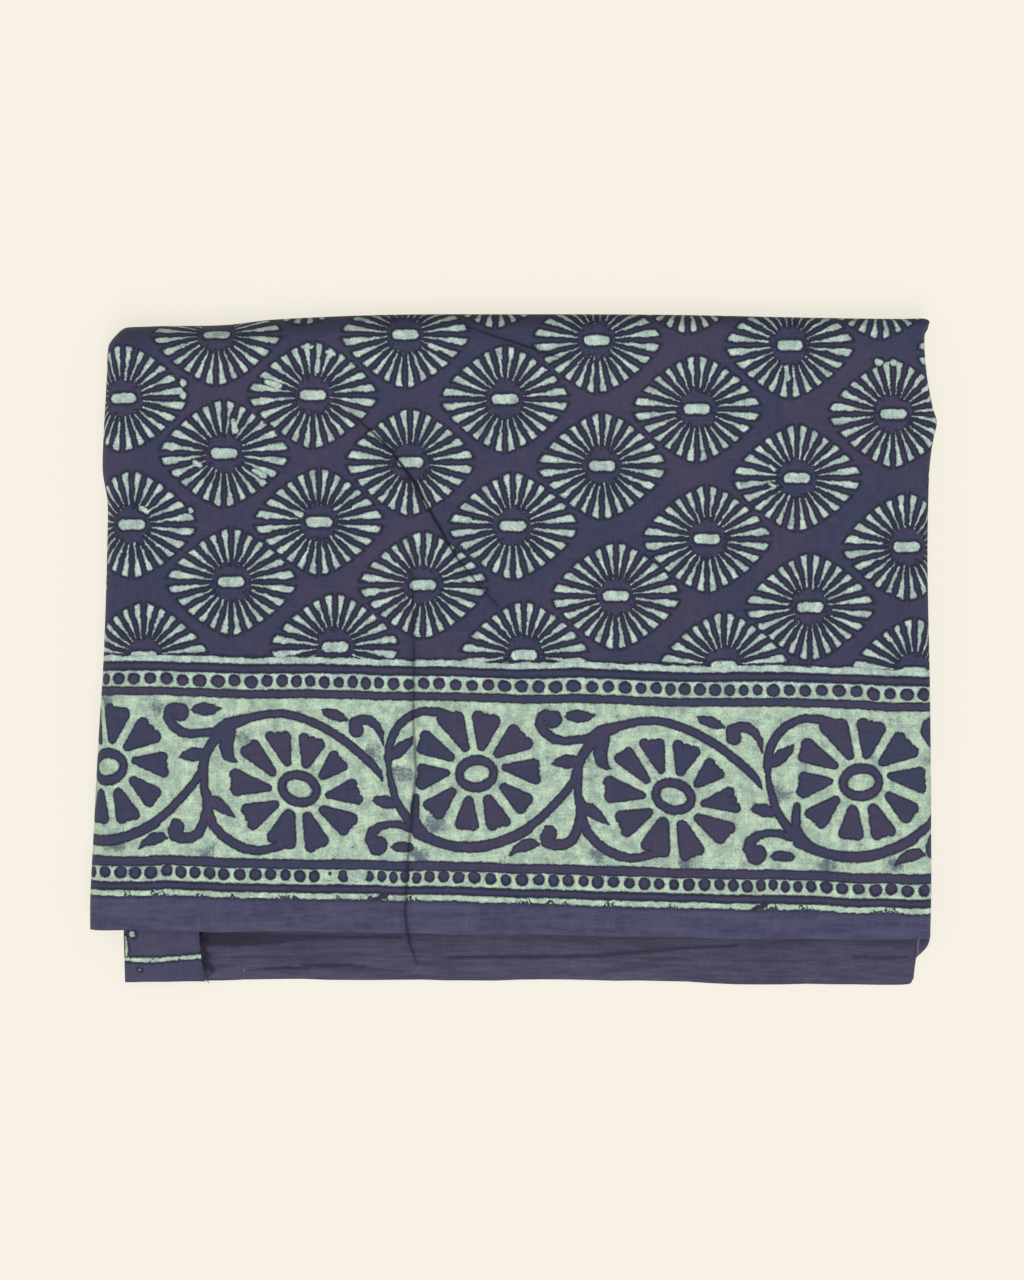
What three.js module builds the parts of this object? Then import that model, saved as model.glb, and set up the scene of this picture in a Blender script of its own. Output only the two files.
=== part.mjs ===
// A cut length of block-printed cotton cloth, folded for sale. It is folded in quarters across
// its width, with both selvages to the front, and then rolled flat along its length, so it is one
// sheet that runs back and forth. Millimetres, +Z up, +X to the right, +Y to the back fold.
// The origin is at the middle of the box, on the surface that the cloth lies on.
import * as THREE from 'three';

const { clamp, lerp, smoothstep } = THREE.MathUtils;

// The sheet, and the air that keeps its plies apart
const SHEET = 1.0;
const AIR = 0.3;
const PITCH = SHEET + AIR;
const PLIES = 4;
const LEVEL = PLIES * PITCH;
const LOWEST = (LEVEL - AIR) / 2;

// The quarter fold: how deep it is, and how far its other front edges lie behind the first one
const DEPTH = 285;
const SECOND_SELVAGE = 11;
const MIDDLE_FOLD = 30;

// The roll: heights of the middles of its four runs
const HEIGHT = {
  base: LOWEST,
  inner: LOWEST + LEVEL,
  flap: LOWEST + 2 * LEVEL,
  top: LOWEST + 2 * LEVEL,
};

// Places in x: the outermost of the inner left bend, the middle of the right bend, both cut ends
const INNER_LEFT = -179.4;
const RIGHT_MIDDLE = 186.2;
const FLAP_END = -141.7;
const BASE_END = 173;

// The bends: half widths, and the share of the right one over which the roll slides to the back
const OUTER_BEND = 8.4;
const TIGHT_BEND = LEVEL / 2;
const HALF_BUNDLE = (LEVEL - AIR) / 2;
const SLIDE_END = 0.95;

// How far the inner run is folded looser, and the lowest run lies inside the upper run's edges
const INNER_SLACK = 5;
const BASE_SETBACK = 1.5;

// The cut end of the flap waves a little to and fro
const CUT_WAVES = [{ size: 1.2, length: 107 }, { size: 0.8, length: 38 }];

// A ply sinks where what carries it stops: it starts a little past the edge, and ends after a run
const EDGE_START = 4;
const EDGE_RUN = 34;
const FLAP_RUN = 62;

// Close to the right bend the bend itself holds the upper run up
const HELD_FROM = 135;
const HELD_TO = 182;

// The two ends of the upper run, seen from above: front selvage and back fold, from left to right
const UPPER_EDGES = [
  { x: -196, front: -128.8, back: 148.4 },
  { x: -165, front: -129.5, back: 149.2 },
  { x: -134, front: -130.2, back: 149.3 },
  { x: -110, front: -130.5, back: 151.7 },
  { x: -60, front: -131.1, back: 154.1 },
  { x: 0, front: -132.1, back: 154.4 },
  { x: 70, front: -133.2, back: 154.2 },
  { x: 140, front: -134.1, back: 152.4 },
  { x: 196, front: -134.4, back: 152.0 },
];

// Front selvage of the inner run, which was rolled up further to the front
const INNER_EDGES = [
  { x: -180, front: -153.2 },
  { x: -134, front: -152.4 },
  { x: -24, front: -152.3 },
  { x: 60, front: -152.8 },
  { x: 110, front: -154.2 },
  { x: 190, front: -154.2 },
];

// Outermost place of the outer left bend, from the front selvage to the back fold
const LEFT_SIDE = [
  { y: -129, x: -194.2 },
  { y: -115, x: -194.6 },
  { y: -92, x: -193.3 },
  { y: -46, x: -190.9 },
  { y: 0, x: -188.1 },
  { y: 57, x: -186.4 },
  { y: 69, x: -186.6 },
  { y: 81, x: -188.6 },
  { y: 92, x: -188.6 },
  { y: 126, x: -187.0 },
  { y: 136.5, x: -186.9 },
  { y: 139.5, x: -185.4 },
  { y: 148.4, x: -178.0 },
];

// Outermost place of the right bend, from the upper run's front selvage to its back fold
const RIGHT_SIDE = [
  { y: -132, x: 191.6 },
  { y: -70, x: 192.2 },
  { y: -20, x: 191.8 },
  { y: 40, x: 190.6 },
  { y: 80, x: 191.4 },
  { y: 92, x: 192.8 },
  { y: 104, x: 195.0 },
  { y: 115, x: 192.8 },
  { y: 127, x: 190.3 },
  { y: 139, x: 189.1 },
  { y: 151, x: 190.8 },
];

// Slow swells and hollows of the pile above its lowest run, as shares of the height
const SWELLS = [
  { x: 96, y: 84, reach: 62, share: 0.05 },
  { x: -118, y: 36, reach: 58, share: 0.04 },
  { x: 60, y: -66, reach: 70, share: -0.04 },
  { x: 176, y: 104, reach: 34, share: 0.06 },
  { x: -10, y: 20, reach: 66, share: 0.03 },
];

// The standing crease that crosses the front half of the upper run, as a trough in its plies
const CREASE = { xFront: -46.4, xBack: -49.6, front: -150, back: 44, half: 5, share: 0.18 };

// Steps of the runs in x, between their bends
const TOP_STEPS = [160, 120, 80, 40, 0, -30, -42, -48, -54, -70, -95, -115, -138, -160];
const INNER_STEPS = [-138, -95, -48, 0, 40, 80, 120, 160];
const BASE_STEPS = [-60, 80];
const FLAP_STEPS = [-158];

// Steps across every ply, from the first selvage back
const INSIDE = [42, 54, 90, 150, 198, 214, 234, 254, 270];

// Shaping functions

function along(rows, key, value, at) {
  const last = rows.length - 1;
  let i = 0;
  while (i < last - 1 && at > rows[i + 1][key]) i += 1;
  const slope = (k) => {
    const a = rows[Math.max(k - 1, 0)];
    const b = rows[Math.min(k + 1, last)];
    return (b[value] - a[value]) / (b[key] - a[key]);
  };
  const step = rows[i + 1][key] - rows[i][key];
  const t = clamp((at - rows[i][key]) / step, 0, 1);
  const rise = rows[i + 1][value] - rows[i][value];
  const m0 = slope(i) * step;
  const m1 = slope(i + 1) * step;
  return rows[i][value] + t * (m0 + t * (3 * rise - 2 * m0 - m1 + t * (m0 + m1 - 2 * rise)));
}

function edges(run, x) {
  if (run === 'inner' || run === 'flap') {
    const front = along(INNER_EDGES, 'x', 'front', x);
    return { front, back: front + DEPTH + INNER_SLACK };
  }
  const front = along(UPPER_EDGES, 'x', 'front', x);
  const back = along(UPPER_EDGES, 'x', 'back', x);
  const inside = run === 'base' ? BASE_SETBACK : 0;
  return { front: front + inside, back: back - inside };
}

function plyFront(ply) {
  if (ply === 1) return 0;
  return ply === 2 ? SECOND_SELVAGE : MIDDLE_FOLD;
}

function missing(run, ply, x, y) {
  const edge = edges(run, x);
  const outside = Math.max(edge.front + plyFront(ply) - y, y - edge.back, 0);
  return smoothstep(outside, EDGE_START, EDGE_RUN);
}

function overFlap(x) {
  return 1 - smoothstep(x, FLAP_END, FLAP_END + FLAP_RUN);
}

// How far a ply of a run lies below its place in a full stack
function sink(run, ply, x, y) {
  const gap = (lower, first, last, share = 1) => {
    let sum = 0;
    for (let p = first; p <= last; p += 1) sum += share * missing(lower, p, x, y);
    return sum;
  };
  if (run === 'base') return 0;
  let plies = gap('base', 1, PLIES);
  const held = 1 - smoothstep(x, HELD_FROM, HELD_TO);
  if (run !== 'inner') plies += gap('inner', 1, PLIES, held);
  if (run === 'top') plies += gap('flap', 1, PLIES, overFlap(x));
  if (run !== 'inner') plies += gap(run, ply + 1, PLIES);
  return plies * PITCH;
}

function swelling(x, y) {
  let share = 0;
  for (const swell of SWELLS) {
    const far = Math.hypot(x - swell.x, y - swell.y) / swell.reach;
    share += swell.share * Math.exp(-far * far);
  }
  return share;
}

function creasing(x, y) {
  const reach = clamp((y - CREASE.front) / (CREASE.back - CREASE.front), 0, 1);
  const off = (x - lerp(CREASE.xFront, CREASE.xBack, reach)) / CREASE.half;
  const fade = 1 - smoothstep(y, CREASE.back - 40, CREASE.back);
  return -CREASE.share * fade * Math.exp(-off * off);
}

// The unevenness stretches the pile upwards from its lowest run, so no ply crosses another
function uneven(x, y, z) {
  const aboveBase = Math.max(z - LEVEL, 0);
  const aboveInner = Math.max(z - 2 * LEVEL, 0);
  return z + swelling(x, y) * aboveBase + creasing(x, y) * aboveInner;
}

// The roll, seen from the front: four runs and the three bends between them. Runs give a start
// and an end in x. Bends give their middle and go outwards to one side, and the right one is
// pulled out further where its side bulges, the outer plies most.

const leftAt = (y) => along(LEFT_SIDE, 'y', 'x', y) + OUTER_BEND + HALF_BUNDLE;
const rightAt = () => RIGHT_MIDDLE;
const innerLeftAt = () => INNER_LEFT + TIGHT_BEND + HALF_BUNDLE;
const baseEndAt = () => BASE_END;

function flapEndAt(y) {
  const wave = (sum, { size, length }) => sum + size * Math.sin((2 * Math.PI * y) / length);
  return CUT_WAVES.reduce(wave, FLAP_END);
}

const ROUTE = [
  { run: 'flap', from: flapEndAt, to: innerLeftAt, up: 1, stops: FLAP_STEPS },
  { run: 'flap', next: 'inner', at: innerLeftAt, side: -1, up: 1, turns: 5 },
  { run: 'inner', from: innerLeftAt, to: rightAt, up: -1, stops: INNER_STEPS },
  { run: 'inner', next: 'top', at: rightAt, side: 1, up: -1, turns: 9 },
  { run: 'top', from: rightAt, to: leftAt, up: 1, stops: TOP_STEPS },
  { run: 'top', next: 'base', at: leftAt, side: -1, up: 1, turns: 6 },
  { run: 'base', from: leftAt, to: baseEndAt, up: -1, stops: BASE_STEPS },
];

function height(run, x) {
  return HEIGHT[run] + (run === 'top' ? LEVEL * overFlap(x) : 0);
}

function onRun(leg, x) {
  const rise = (height(leg.run, x + 1) - height(leg.run, x - 1)) / 2;
  const size = Math.hypot(rise, 1);
  return { x, z: height(leg.run, x), nx: (-rise * leg.up) / size, nz: leg.up / size };
}

function onBend(leg, t, y) {
  const middle = leg.at(y);
  const z0 = height(leg.run, middle);
  const z1 = height(leg.next, middle);
  const tall = Math.abs(z0 - z1) / 2;
  const wide = leg.next === 'base' ? OUTER_BEND : tall;
  const bulge = (along(RIGHT_SIDE, 'y', 'x', y) - RIGHT_MIDDLE) / (TIGHT_BEND + HALF_BUNDLE);
  const pull = leg.side > 0 ? bulge : 1;
  const turn = Math.PI * t;
  const nx = leg.side * tall * Math.sin(turn);
  const nz = leg.up * wide * Math.cos(turn);
  const size = Math.hypot(nx, nz);
  const x = middle + pull * leg.side * wide * Math.sin(turn);
  const z = (z0 + z1) / 2 + leg.up * tall * Math.cos(turn);
  return { x, z, nx: (pull * nx) / size, nz: nz / size };
}

// One point of the sheet: a step of the roll, and a spot of the quarter fold's section. The sides
// of the roll follow the place that the spot has in the upper run, its home, all the way round.

function sheetPoint({ leg, xAt, t }, spot) {
  const here = edges(leg.run, xAt(0));
  const next = leg.next ? edges(leg.next, xAt(0)) : here;
  const slid = smoothstep(t, 0, SLIDE_END);
  const front = lerp(here.front, next.front, slid);
  const back = lerp(here.back, next.back, slid);
  const share = spot.d / DEPTH;
  const y = lerp(front, back, share);

  const upper = edges('top', xAt(0));
  const home = lerp(upper.front, upper.back, share);
  const p = leg.next ? onBend(leg, t, home) : onRun(leg, xAt(home));
  const x = p.x + p.nx * spot.n;
  const low = sink(leg.run, spot.ply, x, y);
  const passed = (1 - Math.cos(Math.PI * t)) / 2;
  const drop = leg.next ? lerp(low, sink(leg.next, spot.ply, x, y), passed) : low;
  return [x, y, uneven(x, y, p.z + p.nz * spot.n - drop)];
}

// A step of a bend goes on by its turn t, a step of a run by its place xAt(y)

function steps() {
  const list = [{ leg: ROUTE[0], xAt: ROUTE[0].from, t: 0 }];
  ROUTE.forEach((leg) => {
    if (leg.next) {
      for (let k = 1; k <= leg.turns; k += 1) list.push({ leg, xAt: leg.at, t: k / leg.turns });
    } else {
      leg.stops.forEach((x) => list.push({ leg, xAt: () => x, t: 0 }));
      list.push({ leg, xAt: leg.to, t: 0 });
    }
  });
  return list;
}

// The quarter fold's section as one line of spots: d runs from the first selvage to the back fold,
// n across the plies. Each spot also has the direction from the sheet's middle to its printed face.

function section() {
  const line = [];
  const across = (ply) => ((PLIES + 1) / 2 - ply) * PITCH;
  const wide = 1.5 * PITCH;
  const tight = 0.5 * PITCH;
  const backAt = DEPTH - wide - SHEET / 2;
  const middleAt = MIDDLE_FOLD + tight + SHEET / 2;

  const flat = (ply, printed, stops) => {
    stops.forEach((d) => line.push({ ply, d, n: across(ply), ad: 0, an: printed }));
  };
  const fold = ({ ply, d, n, radius, toBack, start, printed, count }) => {
    for (let k = 1; k < count; k += 1) {
      const turn = (Math.PI * k) / count;
      const od = toBack * Math.sin(turn);
      const on = start * Math.cos(turn);
      const spot = { ply, d: d + radius * od, n: n + radius * on };
      line.push({ ...spot, ad: printed * od, an: printed * on });
    }
  };

  flat(1, 1, [0, SECOND_SELVAGE, 20, 30, ...INSIDE, backAt]);
  fold({ ply: 1, d: backAt, n: 0, radius: wide, toBack: 1, start: 1, printed: 1, count: 5 });
  flat(4, -1, [backAt, ...[...INSIDE].reverse(), middleAt]);
  const lower = { ply: 4, d: middleAt, n: -PITCH, radius: tight };
  fold({ ...lower, toBack: -1, start: -1, printed: 1, count: 4 });
  flat(3, 1, [middleAt, ...INSIDE, backAt]);
  const nested = { ply: 3, d: backAt, n: 0, radius: tight };
  fold({ ...nested, toBack: 1, start: -1, printed: -1, count: 4 });
  flat(2, -1, [backAt, ...[...INSIDE].reverse(), 30, 20, SECOND_SELVAGE]);
  return line;
}

// The closed skin: a ring round the section at each step of the roll, and a cap at both cut ends.
// Its four-sided faces are all halved in the same direction, so that the plies stay parallel.

function clothGeometry() {
  const line = section();
  const stations = steps();
  const printed = line.map((spot) => ({ spot, side: 1 }));
  const plain = line.map((spot) => ({ spot, side: -1 })).reverse();
  const ring = [...printed, ...plain];
  const points = [];
  const corners = [];

  stations.forEach((step) => ring.forEach(({ spot, side }) => {
    const off = (side * SHEET) / 2;
    const at = { ...spot, d: spot.d + off * spot.ad, n: spot.n + off * spot.an };
    points.push(...sheetPoint(step, at));
  }));
  for (let s = 0; s + 1 < stations.length; s += 1) {
    for (let k = 0; k < ring.length; k += 1) {
      const next = (k + 1) % ring.length;
      const [a, b] = [s * ring.length + k, s * ring.length + next];
      const [c, d] = [b + ring.length, a + ring.length];
      if (ring[next].spot.d > ring[k].spot.d) corners.push(a, b, d, b, c, d);
      else corners.push(a, b, c, a, c, d);
    }
  }
  for (let k = 0; k + 1 < line.length; k += 1) {
    const end = (stations.length - 1) * ring.length;
    const far = ring.length - 1 - k;
    corners.push(k, far, far - 1, k, far - 1, k + 1);
    corners.push(end + k, end + far - 1, end + far, end + k, end + k + 1, end + far - 1);
  }
  const geometry = new THREE.BufferGeometry();
  geometry.setAttribute('position', new THREE.Float32BufferAttribute(points, 3));
  geometry.setIndex(corners);
  geometry.computeVertexNormals();
  return geometry;
}

function cloth() {
  const indigo = new THREE.MeshStandardMaterial({ color: 0x3b3c50, roughness: 0.9, metalness: 0 });
  const mesh = new THREE.Mesh(clothGeometry(), indigo);
  mesh.name = 'folded_cloth';
  return mesh;
}

const part = new THREE.Group();
part.add(cloth());
export default part;
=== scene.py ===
"""A folded length of resist-printed indigo cotton, seen from straight above, as the photograph shows it.

The cloth is one thin sheet on the folds of its CAD solid: folded in quarters across its width, then
rolled flat along its length. Its block print is drawn by shader nodes from charts. A chart
unit is 0.46 mm, x to the right and y towards the front, with its zero at the top left of the picture.
"""

import math
from functools import partialmethod

import bpy
import numpy as np
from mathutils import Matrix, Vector


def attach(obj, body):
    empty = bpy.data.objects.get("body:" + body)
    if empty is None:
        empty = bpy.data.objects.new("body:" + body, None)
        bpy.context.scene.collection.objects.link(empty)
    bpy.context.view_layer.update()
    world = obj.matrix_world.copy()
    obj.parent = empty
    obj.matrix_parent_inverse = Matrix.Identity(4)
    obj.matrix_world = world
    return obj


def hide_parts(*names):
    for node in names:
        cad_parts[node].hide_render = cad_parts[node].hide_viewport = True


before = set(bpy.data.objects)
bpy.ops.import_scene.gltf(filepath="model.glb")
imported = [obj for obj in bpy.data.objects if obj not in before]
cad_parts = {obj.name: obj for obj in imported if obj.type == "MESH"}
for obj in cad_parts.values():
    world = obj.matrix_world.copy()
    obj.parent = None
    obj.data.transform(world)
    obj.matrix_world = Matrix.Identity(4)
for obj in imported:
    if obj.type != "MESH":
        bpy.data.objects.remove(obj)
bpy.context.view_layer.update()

# ---------------------------------------------------------------- sizes, in millimetres
MM = 0.001
SHEET = 0.5  # the drawn cloth's thickness
PITCH, AIR = 1.3, 0.3  # from ply to ply, and the air in it
PLIES = 4
LEVEL = PLIES * PITCH
HALF_BUNDLE = (LEVEL - AIR) / 2
DEPTH = 285.0
SECOND_SELVAGE = 11.0  # how far the second selvage and the middle fold stay behind the first selvage
MIDDLE_FOLD = 30.0
HEIGHT = {run: HALF_BUNDLE + level * LEVEL for run, level in (("base", 0), ("inner", 1), ("flap", 2), ("top", 2))}
INNER_LEFT = -180.4
RIGHT_MIDDLE = 186.2
FLAP_END = -143.4
BASE_END = 173.0
OUTER_BEND, TIGHT_BEND = 8.4, LEVEL / 2
INNER_SLACK = 5.0  # how much deeper the inner run is than the top
BASE_SETBACK = 1.5
CUT_WAVES = [(1.2, 107.0), (0.8, 38.0)]
# Where a lower ply ends, the plies above it sink this slowly, and over the flap's end as slowly as that
EDGE_START, EDGE_RUN, FLAP_RUN = 4.0, 34.0, 62.0
HELD_FROM, HELD_TO = 135.0, 182.0  # towards the right bend nothing sinks on the inner run

# x, front selvage, back fold
UPPER_EDGES = [
    (-196, -128.8, 148.4), (-165, -129.5, 149.4), (-134, -130.2, 149.9), (-110, -130.5, 152.6), (-60, -131.1, 154.7),
    (0, -132.1, 154.9), (70, -133.2, 154.6), (140, -134.1, 153.2), (182, -134.4, 152.5), (196, -134.4, 153.6),
]
INNER_EDGES = [
    (-180, -154.6), (-134, -153.9), (-24, -153.8), (60, -154.3), (110, -155.6), (174, -156.1), (183, -156.2),
    (185.2, -155.4), (187, -151.5), (190, -150.0),
]
# y, outermost x of the bend
LEFT_SIDE = [
    (-129, -195.9), (-115, -195.6), (-92, -194.3), (-46, -191.9), (0, -189.1), (57, -187.4), (69, -187.6),
    (81, -189.6), (92, -189.6), (126, -187.8), (136.5, -187.4), (141, -186.6), (148.4, -181.2),
]
RIGHT_SIDE = [
    (-132, 193.6), (-70, 193.4), (-20, 192.9), (40, 191.7), (80, 192.4), (92, 193.6), (99, 195.0), (105, 196.3),
    (110, 194.6), (116, 193.2), (127, 191.2), (139, 190.2), (147, 190.6), (151, 193.0),
]
# x, what share of the height the back fold is pressed down by, and from how far before it
BACK_ROLL = [(-196, 0.62, 15.0), (-110, 0.58, 14.0), (-40, 0.42, 9.0), (60, 0.3, 6.0), (196, 0.28, 6.0)]
# x, y, reach, share of the height
SWELLS = [(96, 84, 62, 0.05), (-118, 36, 58, 0.04), (60, -66, 70, -0.04), (176, 104, 34, 0.06), (-10, 20, 66, 0.03)]

# ---------------------------------------------------------------- charts of the print
CHART = 0.46
CHART_X, CHART_Y = 513.0, 649.0

# Centres of the medallions: column (halves in every other row), row, x, y
MEDALLIONS = [
    (0, 0, 217, 333), (1, 0, 405, 334), (2, 0, 597, 340), (3, 0, 790, 345),
    (-0.5, 1, 124, 399), (0.5, 1, 313, 395), (1.5, 1, 505, 399), (2.5, 1, 697, 409), (3.5, 1, 893, 414),
    (0, 2, 225, 454), (1, 2, 410, 462), (2, 2, 602, 466), (3, 2, 797, 478),
    (-0.5, 3, 133, 525), (0.5, 3, 319, 522), (1.5, 3, 513, 526), (2.5, 3, 707, 539), (3.5, 3, 907, 547),
    (0, 4, 232, 582), (1, 4, 423, 585), (2, 4, 616, 596), (3, 4, 810, 607),
    (-0.5, 5, 145, 656), (0.5, 5, 335, 647), (1.5, 5, 524, 655), (2.5, 5, 724, 666), (3.5, 5, 915, 672),
]
MEDALLION_WIDE, MEDALLION_TALL, MEDALLION_POWER, MEDALLION_REACH = 64.5, 53.5, 1.38, 52.0
RAYS, RAY_START, RAY_LENGTH, RAY_ROUNDING = 24, 16.0, 35, 3.2
RAY_HALF = (0.85, 0.1, 2.8)  # half width of a ray: at its start, and how it grows with its share and the square
BAR_STRAIGHT, BAR_HALF = 8.2, 5.2
# Where resist has run together between the rays, and stray drops of it
BLOTCHES = [
    [(267, 382, 2.6), (278, 386, 4.0)], [(234, 421, 2.6), (236, 431, 3.8)], [(255, 471, 2.6), (264, 476, 3.4)],
    [(196, 463, 2.6), (201, 466, 2.6)], [(318, 360, 2.6), (317, 371, 3.0)], [(303, 347, 2.0), (312, 347, 2.0)],
    [(327, 352, 2.0), (334, 354, 2.2)], [(786, 367, 2.2), (788, 378, 3.2)], [(770, 466, 2.0), (774, 470, 2.0)],
    [(770, 484, 1.8), (775, 487, 2.0)], [(143, 509, 3.2), (148, 512, 2.6)], [(430, 345, 2.6), (436, 348, 3.0)],
    [(295, 512, 2.4), (301, 515, 3.2)], [(184, 383, 3.5), (184.5, 384, 3.5)], [(184, 396, 3.6), (184.5, 397, 3.4)],
    [(878, 362, 3.8), (880, 362.5, 3.6)], [(893, 362, 3.4), (894, 363, 3.6)], [(191.5, 510, 2.5), (192, 511.5, 2.7)],
]

# The border: its upper edge and its lower edge in the chart, at some x, and their slope past the last
BORDER_EDGES = [(100, 652, 894), (300, 656, 898), (500, 660, 902), (700, 663.3, 907.7), (920, 667, 914)]
BORDER_SLOPE, BORDER_TALL = 0.017, 242.0
# Where the blocks stand in the picture, and where they would stand if they were all printed evenly
BLOCK_SHIFTS = [
    (-300, -300), (60, 54), (108, 102), (210, 209), (300, 300), (476, 476), (674, 674), (862, 851), (930, 918),
    (1300, 1284),
]
BLOCK_START, BLOCK_LENGTH = 210.0, 374.0
COLUMNS = 4
COLUMN_LENGTH = BLOCK_LENGTH / COLUMNS

# Strokes of one block: x from the picture, y from the border's upper edge, half width
STROKES = {
    "rising_stem": [
        (152.7, 168.3, 4.2), (167.2, 156.8, 4.2), (181.7, 141.9, 4.0), (192.8, 129.4, 4.0), (200.6, 118.1, 4.2),
        (204.0, 105.8, 4.7), (207.3, 95.8, 4.7), (214.0, 85.6, 5.0), (220.7, 77.7, 6.1),
    ],
    "arch_start": [(214.0, 77.8, 4.5), (227.4, 70.3, 6.9), (240.8, 65.3, 5.4), (250.0, 62.5, 4.2)],
    "upper_curl": [
        (216.3, 77.2, 4.5), (202.9, 78.3, 4.0), (189.5, 79.7, 4.2), (179.4, 77.7, 4.7), (171.1, 71.5, 5.0),
        (165.5, 63.2, 4.7), (167.7, 56.0, 5.0), (172.7, 54.2, 5.6), (178.5, 57.9, 9.4),
    ],
    "upper_leaf": [(190.6, 55.5, 0.4), (196.2, 54.8, 4.5), (204.0, 54.7, 6.5), (211.8, 54.9, 5.0), (220.7, 53.8, 0.9)],
    "stem_leaf": [
        (178.3, 103.1, 0.6), (185.0, 101.2, 4.5), (192.8, 100.2, 7.1), (200.6, 99.8, 5.8), (205.1, 100.3, 4.5),
    ],
    "inner_leaf": [
        (227.4, 77.6, 8.4), (226.1, 90.9, 6.9), (228.0, 99.8, 5.8), (232.5, 104.7, 3.1), (236.9, 106.5, 0.7),
    ],
    "lower_stem": [
        (204.0, 105.8, 4.7), (203.4, 118.1, 4.7), (204.0, 133.6, 4.0), (207.6, 144.7, 5.6), (207.6, 156.9, 5.4),
    ],
    "side_leaf": [
        (208.5, 145.8, 5.4), (216.3, 148.0, 6.7), (224.1, 153.7, 5.1), (229.7, 158.0, 2.9), (234.7, 161.6, 0.6),
    ],
    "lower_curl": [
        (206.2, 156.9, 4.7), (202.9, 169.2, 4.7), (198.4, 178.2, 4.9), (190.6, 183.1, 5.1), (180.6, 183.7, 5.4),
        (172.7, 181.1, 5.6), (170.0, 175.6, 4.0), (174.8, 172.7, 8.3),
    ],
    "lower_leaf": [
        (135.6, 195.4, 0.5), (142.3, 188.9, 3.6), (150.7, 185.1, 6.1), (158.0, 183.1, 5.1), (165.0, 183.6, 1.0),
    ],
    "cradle": [
        (207.6, 158.0, 5.4), (214.0, 171.2, 4.7), (223.0, 181.0, 4.7), (234.1, 188.4, 4.7), (245.3, 193.1, 4.7),
        (256.4, 195.1, 4.2), (267.6, 193.7, 4.0), (276.5, 190.7, 4.5), (284.3, 187.1, 5.6),
    ],
    "arch": [
        (243.3, 65.1, 3.8), (250.0, 62.5, 4.2), (266.7, 58.6, 4.0), (281.2, 57.8, 4.0), (294.6, 59.8, 4.2),
        (308.0, 64.0, 4.2), (321.4, 69.8, 4.2), (334.8, 77.4, 4.2), (348.2, 86.6, 4.2), (359.4, 95.8, 4.2),
        (370.5, 105.7, 4.2), (378.3, 114.4, 3.3), (382.6, 122.7, 0.9),
    ],
    "joint_leaf": [(322.3, 53.4, 0.6), (327.0, 56.1, 4.0), (334.2, 58.0, 5.4), (340.3, 60.4, 4.5), (347.0, 63.0, 1.2)],
    "joint_curl": [
        (356.4, 73.0, 7.2), (355.5, 66.0, 6.2), (361.6, 62.4, 5.0), (369.4, 62.6, 4.9), (376.1, 67.9, 4.2),
        (380.8, 75.3, 3.0), (383.3, 87.6, 0.5),
    ],
    "side_bud": [(372.8, 143.6, 0.6), (378.3, 142.9, 4.7), (385.0, 144.1, 6.5), (391.7, 146.0, 5.0)],
    "front_curl": [
        (409.6, 170.7, 3.8), (400.0, 166.7, 3.7), (389.5, 166.5, 3.5), (379.5, 168.9, 4.0), (372.2, 174.8, 5.1),
        (370.5, 182.7, 5.6), (377.0, 187.6, 10.3),
    ],
    "front_leaf": [
        (391.2, 189.7, 0.7), (396.7, 189.2, 4.4), (402.7, 189.0, 5.2), (408.8, 189.4, 4.4), (412.7, 189.6, 1.0),
    ],
    "left_arc": [
        (447.6, 57.1, 5.5), (437.9, 53.3, 4.4), (423.3, 52.4, 3.9), (413.6, 56.0, 4.0), (405.1, 61.0, 4.1),
        (397.9, 68.4, 4.1), (392.4, 78.2, 4.1), (389.4, 88.0, 4.1), (388.2, 100.1, 4.1), (388.8, 109.8, 2.3),
        (389.4, 117.0, 2.9), (392.4, 129.1, 3.4), (395.4, 141.1, 3.9), (400.3, 150.7, 4.1), (406.4, 159.1, 4.4),
        (412.4, 168.7, 5.1),
    ],
    "arc_leaf": [(390.0, 99.5, 3.4), (396.1, 95.1, 5.8), (402.1, 89.5, 6.1), (408.2, 84.5, 4.1), (412.2, 79.6, 1.0)],
    "thorn": [(416.0, 138.9, 3.2), (415.1, 148.0, 4.1), (414.6, 160.2, 4.6), (416.7, 169.8, 7.0), (423.3, 176.3, 6.1)],
    "swing": [
        (418.5, 174.6, 6.3), (433.0, 181.6, 5.1), (445.1, 185.6, 4.8), (457.2, 187.8, 5.1), (471.8, 188.1, 5.3),
        (485.1, 186.6, 5.3), (498.4, 182.7, 5.1), (513.0, 176.9, 5.1), (527.5, 168.7, 5.1),
    ],
}
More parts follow.
